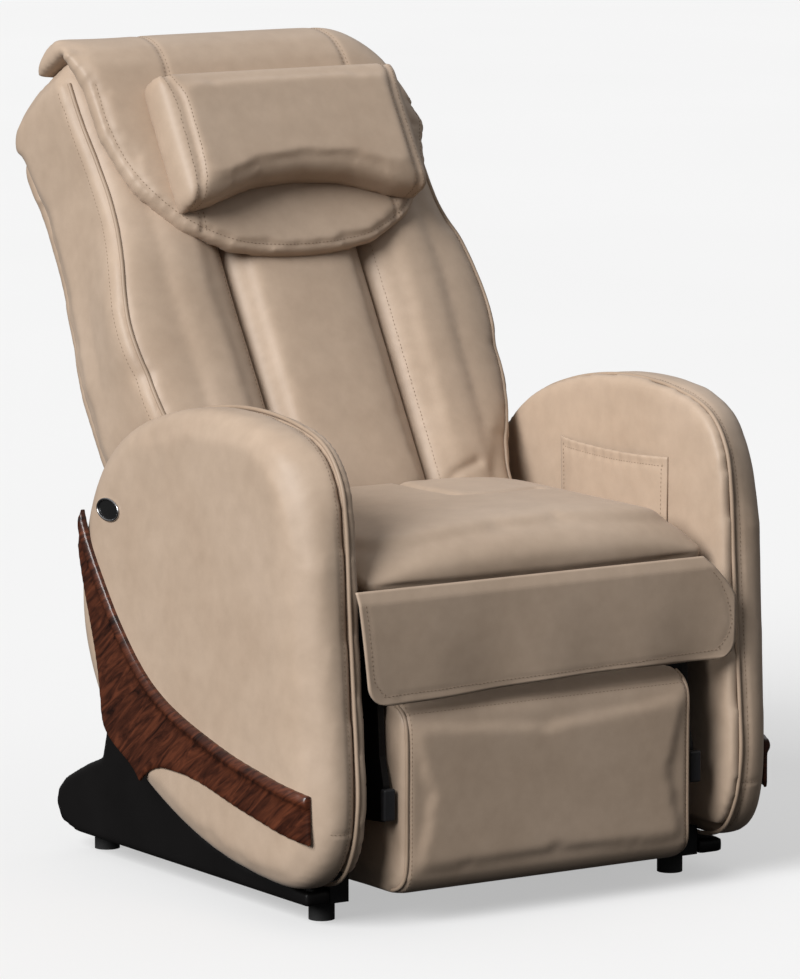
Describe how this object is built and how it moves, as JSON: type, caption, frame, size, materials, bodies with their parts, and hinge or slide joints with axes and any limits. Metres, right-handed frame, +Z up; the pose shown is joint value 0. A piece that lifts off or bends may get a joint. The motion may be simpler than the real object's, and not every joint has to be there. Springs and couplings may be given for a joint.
{
  "type": "massage chair",
  "caption": "Upholstered massage recliner with wrap-round arms, wooden arm trim, a roller carriage inside the back and a lifting, flipping leg rest.",
  "frame": {"origin": "on the floor, midway between the arms and midway between the front and the rear of the chair", "axes": "+Z up, the sitter faces -Y, +X is the sitter's left arm"},
  "size_m": [0.79, 0.9857, 1.142],
  "materials": {
    "upholstery": "soft semi-matt",
    "black_steel": "satin",
    "black_plastic": "fine grain",
    "bright_steel": "satin",
    "grey_plastic": "satin",
    "rubber": "matt",
    "airbag": "woven",
    "board": "raw plywood",
    "stained_wood": "glossy lacquer",
    "rear_cover": "soft semi-matt"
  },
  "bodies": {
    "chair": {"base_frame": "black_steel", "glide_feet": "rubber", "outrigger_right": "black_plastic", "outrigger_left": "black_plastic", "outrigger_bolts": "bright_steel", "arm_bolts": "bright_steel", "seat_frame": "black_steel", "leg_pins": "bright_steel", "recline_pins": "bright_steel", "seat_pan": "board", "seat_cushion": "upholstery", "seat_vibration_motor": "grey_plastic", "arm_core_right": "board", "arm_core_left": "board", "arm_outer_pad_right": "upholstery", "arm_outer_pad_left": "upholstery", "arm_inner_pad_right": "upholstery", "arm_inner_pad_left": "upholstery", "wood_trim_right": "stained_wood", "wood_trim_left": "stained_wood", "badge_plate_right": "black_plastic", "badge_plate_left": "black_plastic", "remote_pocket": "upholstery", "legrest_actuator_body": "grey_plastic", "recline_actuator_body": "grey_plastic", "control_box": "black_plastic", "power_inlet": "black_plastic"},
    "back": {"back_pad_centre": "upholstery", "back_pad_right": "upholstery", "back_pad_left": "upholstery", "back_bolster_right": "upholstery", "back_bolster_left": "upholstery", "back_shell": "rear_cover", "back_shell_screws": "bright_steel", "back_frame": "black_steel", "head_cover": "upholstery", "guide_rails": "bright_steel", "screw_motor": "grey_plastic"},
    "pillow": {"head_pillow": "upholstery"},
    "carriage": {"carriage": "black_steel", "knead_gearbox": "black_plastic"},
    "screw": {"lead_screw": "bright_steel"},
    "knead_right": {"knead_arm_right": "black_plastic"},
    "knead_left": {"knead_arm_left": "black_plastic"},
    "roller_ur": {"roller_upper_right": "black_plastic"},
    "roller_lr": {"roller_lower_right": "black_plastic"},
    "roller_ul": {"roller_upper_left": "black_plastic"},
    "roller_ll": {"roller_lower_left": "black_plastic"},
    "legrest": {"legrest_frame": "black_steel", "bracket_caps": "grey_plastic"},
    "flap": {"front_flap": "upholstery"},
    "ottoman": {"ottoman_body": "upholstery", "calf_airbags": "airbag", "ottoman_pivots": "bright_steel"},
    "legrest_rod": {"legrest_actuator_rod": "bright_steel"},
    "recline_rod": {"recline_actuator_rod": "bright_steel"},
    "switch": {"power_switch": "black_plastic"}
  },
  "joints": [
    {"name": "recline", "type": "hinge", "parent": "chair", "child": "back", "pos_m": [0, 0.055, 0.412], "axis": [-1, 0, 0], "range_deg": [0, 50]},
    {"name": "pillow_lift", "type": "slide", "parent": "back", "child": "pillow", "axis": [0, -0.866, 0.5], "range_m": [0, 0.12]},
    {"name": "carriage_travel", "type": "slide", "parent": "back", "child": "carriage", "axis": [0, 0.5, 0.866], "range_m": [0, 0.33]},
    {"name": "screw_turn", "type": "hinge", "parent": "back", "child": "screw", "pos_m": [0, 0.2299, 0.63481], "axis": [0, 0.5, 0.866], "range_deg": [0, 11880]},
    {"name": "knead_right", "type": "hinge", "parent": "carriage", "child": "knead_right", "pos_m": [0.042, 0.13601, 0.60819], "axis": [1, 0, 0], "range_deg": [-6, 6]},
    {"name": "roller_upper_right_spin", "type": "hinge", "parent": "knead_right", "child": "roller_ur", "pos_m": [0.062, 0.14283, 0.66199], "axis": [1, 0, 0], "continuous": true},
    {"name": "roller_lower_right_spin", "type": "hinge", "parent": "knead_right", "child": "roller_lr", "pos_m": [0.062, 0.09283, 0.57538], "axis": [1, 0, 0], "continuous": true},
    {"name": "knead_left", "type": "hinge", "parent": "carriage", "child": "knead_left", "pos_m": [-0.042, 0.13601, 0.60819], "axis": [1, 0, 0], "range_deg": [-6, 6]},
    {"name": "roller_upper_left_spin", "type": "hinge", "parent": "knead_left", "child": "roller_ul", "pos_m": [-0.062, 0.14283, 0.66199], "axis": [1, 0, 0], "continuous": true},
    {"name": "roller_lower_left_spin", "type": "hinge", "parent": "knead_left", "child": "roller_ll", "pos_m": [-0.062, 0.09283, 0.57538], "axis": [1, 0, 0], "continuous": true},
    {"name": "legrest_lift", "type": "hinge", "parent": "chair", "child": "legrest", "pos_m": [0, -0.42, 0.395], "axis": [-1, 0, 0], "range_deg": [0, 85]},
    {"name": "flap_swing", "type": "hinge", "parent": "chair", "child": "flap", "pos_m": [0, -0.492, 0.468], "axis": [-1, 0, 0], "range_deg": [0, 85]},
    {"name": "ottoman_flip", "type": "hinge", "parent": "legrest", "child": "ottoman", "pos_m": [0, -0.375, 0.175], "axis": [-1, 0, 0], "range_deg": [0, 180]},
    {"name": "legrest_rod_slide", "type": "slide", "parent": "chair", "child": "legrest_rod", "axis": [0, -1, 0], "range_m": [0, 0.0609]},
    {"name": "recline_rod_slide", "type": "slide", "parent": "chair", "child": "recline_rod", "axis": [0, -1, 0], "range_m": [0, 0.0846]},
    {"name": "switch_rock", "type": "hinge", "parent": "chair", "child": "switch", "pos_m": [0, 0.186, 0.11], "axis": [1, 0, 0], "range_deg": [0, 8]}
  ],
  "couplings": [
    {"joint": "screw_turn", "follows": "carriage_travel", "rad_per_m": 628.32},
    {"joint": "flap_swing", "follows": "legrest_lift", "ratio": 1},
    {"joint": "legrest_rod_slide", "follows": "legrest_lift", "m_per_rad": 0.040986},
    {"joint": "recline_rod_slide", "follows": "recline", "m_per_rad": 0.096857},
    {"joint": "knead_left", "follows": "knead_right", "ratio": -1}
  ]
}
